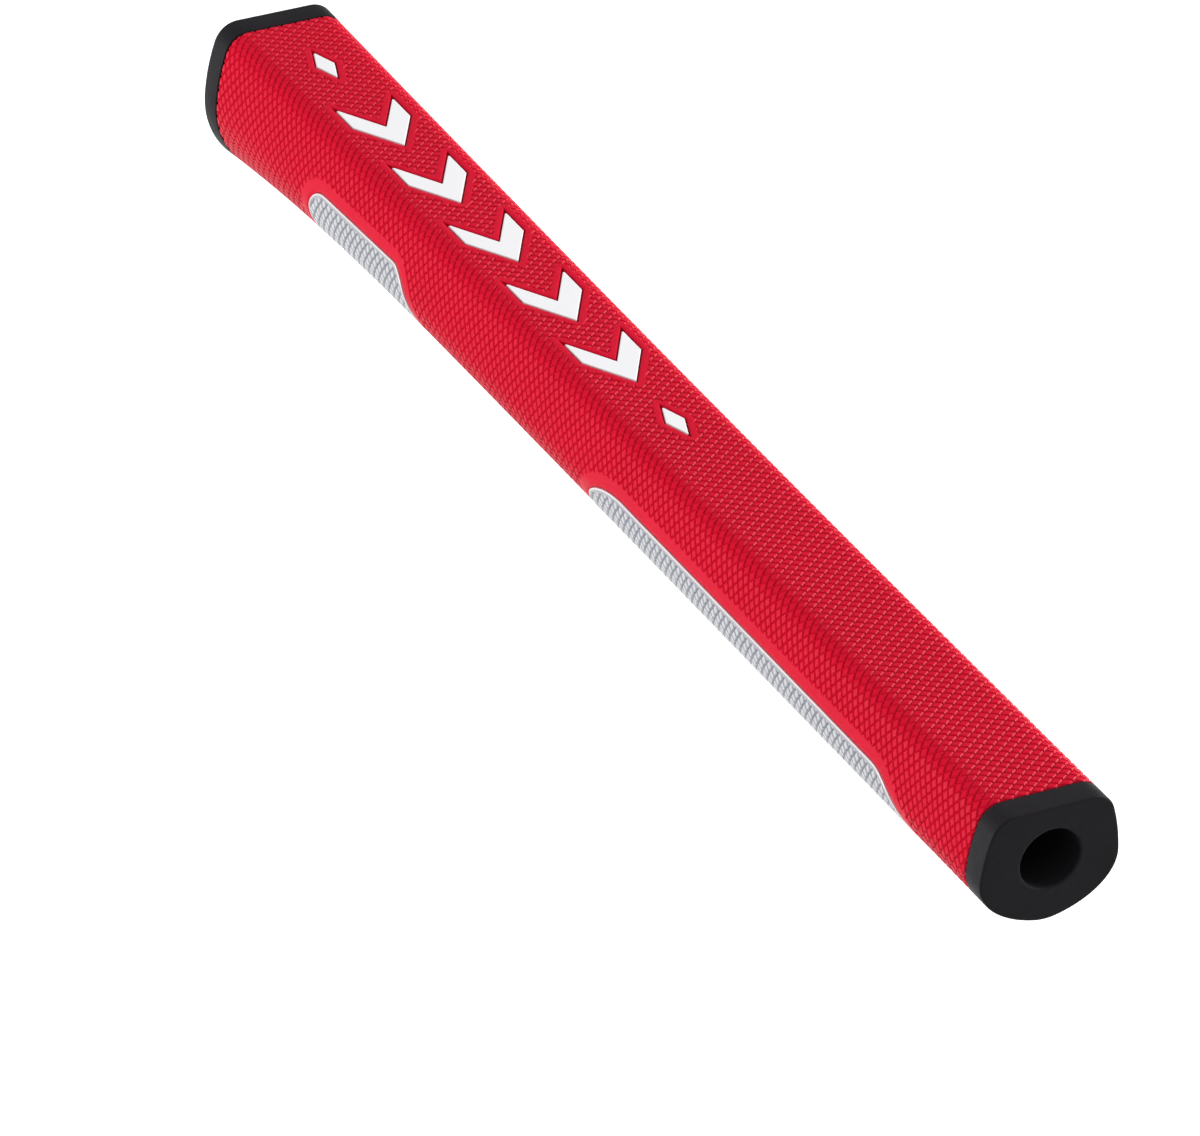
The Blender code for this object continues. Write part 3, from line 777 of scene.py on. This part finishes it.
class Finish:
    """A Principled material built up from procedural nodes."""

    def __init__(self, name, colour, roughness, specular=0.5):
        self.material = bpy.data.materials.new(name)
        self.material.use_nodes = True
        self.tree = self.material.node_tree
        self.shader = self.tree.nodes["Principled BSDF"]
        self.shader.inputs["Roughness"].default_value = roughness
        self.shader.inputs["Specular IOR Level"].default_value = specular
        self.place = self.node("ShaderNodeTexCoord").outputs["Object"]
        self.colour = None
        self.base = (*colour, 1.0)
        self.shader.inputs["Base Color"].default_value = self.base

    def node(self, kind, **inputs):
        made = self.tree.nodes.new(kind)
        for name, value in inputs.items():
            self.feed(made.inputs[name.replace("_", " ")], value)
        return made

    def feed(self, socket, value):
        if isinstance(value, bpy.types.NodeSocket):
            self.tree.links.new(value, socket)
        else:
            socket.default_value = value

    def noise(self, scale, detail=3.0, roughness=0.5):
        made = self.node("ShaderNodeTexNoise", Vector=self.place, Scale=scale, Detail=detail)
        made.inputs["Roughness"].default_value = roughness
        return made.outputs["Fac"]

    def between(self, value, low, high, to_low, to_high):
        made = self.node("ShaderNodeMapRange", Value=value)
        for name, number in zip(("From Min", "From Max", "To Min", "To Max"), (low, high, to_low, to_high)):
            made.inputs[name].default_value = number
        return made.outputs["Result"]

    def stored(self, name):
        made = self.node("ShaderNodeAttribute")
        made.attribute_name = name
        return made.outputs["Fac"]

    def tint(self, share, colour):
        """Blends the colour so far towards another by a share that varies over the surface."""
        made = self.node("ShaderNodeMix")
        made.data_type = "RGBA"
        self.feed(made.inputs["Factor"], share)
        self.feed(made.inputs[6], self.colour or self.base)
        made.inputs[7].default_value = (*colour, 1.0)
        self.colour = made.outputs[2]
        self.feed(self.shader.inputs["Base Color"], self.colour)

    def shine(self, roughness):
        self.feed(self.shader.inputs["Roughness"], roughness)

    def grain(self, height, depth, strength=1.0):
        made = self.node("ShaderNodeBump", Height=height)
        made.inputs["Distance"].default_value = depth
        made.inputs["Strength"].default_value = strength
        self.feed(self.shader.inputs["Normal"], made.outputs["Normal"])


def cover_material():
    finish = Finish("embossed_red_polyurethane", (0.66, 0.004, 0.029), 0.40, 0.06)
    finish.tint(finish.between(finish.noise(60), 0.35, 0.65, 0.0, 0.35), (0.60, 0.003, 0.025))
    # Groove bottoms, the marks' pocket floors and the underside are tinted dark red: painted shade in the
    # recesses, over the grooves' real depth.
    finish.tint(finish.between(finish.stored("groove"), 0.5, 1.0, 0.0, 0.4), (0.30, 0.001, 0.006))
    finish.shine(finish.between(finish.noise(1500), 0.3, 0.7, 0.36, 0.46))
    finish.grain(finish.noise(6000, 2.0), 0.02 * MM, 0.5)
    return finish.material


def panel_material():
    finish = Finish("embossed_silver_polyurethane", (0.56, 0.565, 0.59), 0.36, 0.4)
    finish.tint(finish.between(finish.noise(90), 0.35, 0.65, 0.0, 0.4), (0.52, 0.525, 0.555))
    # Grooves tinted dark blue-grey: painted shade in the grooves, over their real depth.
    finish.tint(finish.between(finish.stored("groove"), 0.1, 0.8, 0.0, 0.85), (0.20, 0.215, 0.27))
    finish.tint(finish.between(finish.stored("border"), 0.0, 1.0, 0.0, 0.8), (0.34, 0.345, 0.375))
    # The rim is tinted pinkish white: a painted highlight where the rounded edge catches the light.
    finish.tint(finish.between(finish.stored("rim"), 0.2, 1.0, 0.0, 0.9), (0.84, 0.70, 0.73))
    finish.shine(finish.between(finish.noise(1800), 0.3, 0.7, 0.28, 0.40))
    finish.grain(finish.noise(6000, 2.0), 0.02 * MM, 0.4)
    return finish.material


def mark_material():
    finish = Finish("white_fill", (0.93, 0.93, 0.95), 0.36, 0.3)
    finish.tint(finish.between(finish.noise(250), 0.4, 0.7, 0.0, 0.3), (0.89, 0.89, 0.92))
    finish.shine(finish.between(finish.noise(1200), 0.3, 0.7, 0.32, 0.42))
    finish.grain(finish.noise(4000, 2.0), 0.015 * MM, 0.4)
    return finish.material


def rubber_material():
    finish = Finish("black_rubber", (0.017, 0.0155, 0.0175), 0.5, 0.05)
    finish.tint(finish.between(finish.noise(120), 0.35, 0.7, 0.0, 0.6), (0.021, 0.0195, 0.0235))
    finish.shine(finish.between(finish.noise(900), 0.3, 0.7, 0.44, 0.58))
    finish.grain(finish.noise(7000, 3.0), 0.03 * MM, 0.5)
    return finish.material


def seam_material():
    finish = Finish("seam_filler", (0.46, 0.004, 0.020), 0.5, 0.15)
    finish.tint(finish.between(finish.noise(400), 0.35, 0.65, 0.0, 0.6), (0.34, 0.003, 0.014))
    finish.shine(finish.between(finish.noise(900), 0.3, 0.7, 0.42, 0.60))
    finish.grain(finish.noise(2500, 3.0), 0.05 * MM, 0.5)
    return finish.material


def foam_material():
    finish = Finish("eva_foam", (0.10, 0.10, 0.11), 0.9)
    finish.tint(finish.between(finish.noise(900), 0.4, 0.7, 0.0, 0.7), (0.055, 0.055, 0.062))
    cells = finish.node("ShaderNodeTexVoronoi", Vector=finish.place, Scale=2200.0)
    finish.grain(cells.outputs["Distance"], 0.12 * MM, 0.7)
    return finish.material


def felt_material():
    finish = Finish("felt_backing", (0.25, 0.03, 0.04), 0.95)
    finish.tint(finish.between(finish.noise(700), 0.35, 0.7, 0.0, 0.7), (0.16, 0.02, 0.03))
    finish.grain(finish.noise(3000, 6.0, 0.7), 0.15 * MM, 0.8)
    return finish.material


# ------------------------------------------------------------------ stage


def make_floor():
    """Pale floor well below the grip, which hangs in the air as on a club."""
    bpy.ops.mesh.primitive_plane_add(size=6, location=(0.12, 0, cad_low.z - 0.17))
    floor = bpy.context.object
    floor.name = "studio_floor"
    material = bpy.data.materials.new("pale_floor")
    material.use_nodes = True
    shader = material.node_tree.nodes["Principled BSDF"]
    shader.inputs["Base Color"].default_value = (0.90, 0.90, 0.90, 1)
    shader.inputs["Roughness"].default_value = 0.9
    shader.inputs["Emission Color"].default_value = (1, 1, 1, 1)
    shader.inputs["Emission Strength"].default_value = 0.42
    floor.data.materials.append(material)
    floor.visible_diffuse = False


def make_camera():
    """Long lens from above the paddle's left edge, turned so that the grip runs down to the right."""
    camera = bpy.data.objects.new("camera", bpy.data.cameras.new("camera"))
    right = Vector((0.469065, 0.881706, 0.050714))
    up = Vector((-0.488891, 0.211408, 0.846341))
    turned = Matrix((right, up, right.cross(up))).transposed().to_4x4()
    camera.matrix_world = Matrix.Translation((1.35014, -0.70785, 0.85952)) @ turned
    camera.data.lens = 306.37
    camera.data.sensor_width = 36
    camera.data.clip_end = 50
    bpy.context.scene.collection.objects.link(camera)
    bpy.context.scene.camera = camera


def add_softbox(name, way, distance, size, power):
    """Area light that faces the grip's middle, from the given way."""
    light = bpy.data.lights.new(name, "AREA")
    light.shape = "RECTANGLE"
    light.size, light.size_y = size
    light.energy = power
    item = bpy.data.objects.new(name, light)
    middle = Vector(((BUTT_X + MOUTH_X) / 2, 0, 0))
    direction = Vector(way).normalized()
    item.location = middle + direction * distance
    item.rotation_mode = "QUATERNION"
    item.rotation_quaternion = direction.to_track_quat("Z", "Y")
    bpy.context.scene.collection.objects.link(item)


def make_lights():
    """White dome that is brightest overhead, and a soft box on either side."""
    world = bpy.data.worlds.new("studio")
    world.use_nodes = True
    tree = world.node_tree
    background = tree.nodes["Background"]
    background.inputs["Color"].default_value = (1, 1, 1, 1)
    height = tree.nodes.new("ShaderNodeSeparateXYZ")
    tree.links.new(tree.nodes.new("ShaderNodeTexCoord").outputs["Generated"], height.inputs[0])
    dome = tree.nodes.new("ShaderNodeMapRange")
    dome.inputs["From Min"].default_value = -1
    dome.inputs["To Min"].default_value = 0.17
    dome.inputs["To Max"].default_value = 0.67
    tree.links.new(height.outputs["Z"], dome.inputs["Value"])
    tree.links.new(dome.outputs["Result"], background.inputs["Strength"])
    bpy.context.scene.world = world
    add_softbox("left_box", (-0.34, -0.94, 0.00), 1.5, (0.95, 0.52), 22.4)
    add_softbox("right_box", (0.12, 0.94, 0.32), 1.2, (0.6, 0.80), 19.0)


def main():
    cover, panel = cover_material(), panel_material()
    mark, rubber = mark_material(), rubber_material()
    make_cover(cover)
    for side_name in ("left", "right"):
        for which in PANELS:
            make_panel(side_name, which, panel)
    for name, outline in MARKS.items():
        make_mark(name, outline, mark)
    make_seam(seam_material())
    make_caps(rubber)
    make_core(foam_material())
    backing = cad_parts["cover_backing"]
    backing.data.materials.clear()
    backing.data.materials.append(felt_material())
    make_floor()
    make_camera()
    make_lights()
    bpy.context.scene.view_settings.view_transform = "Standard"


main()
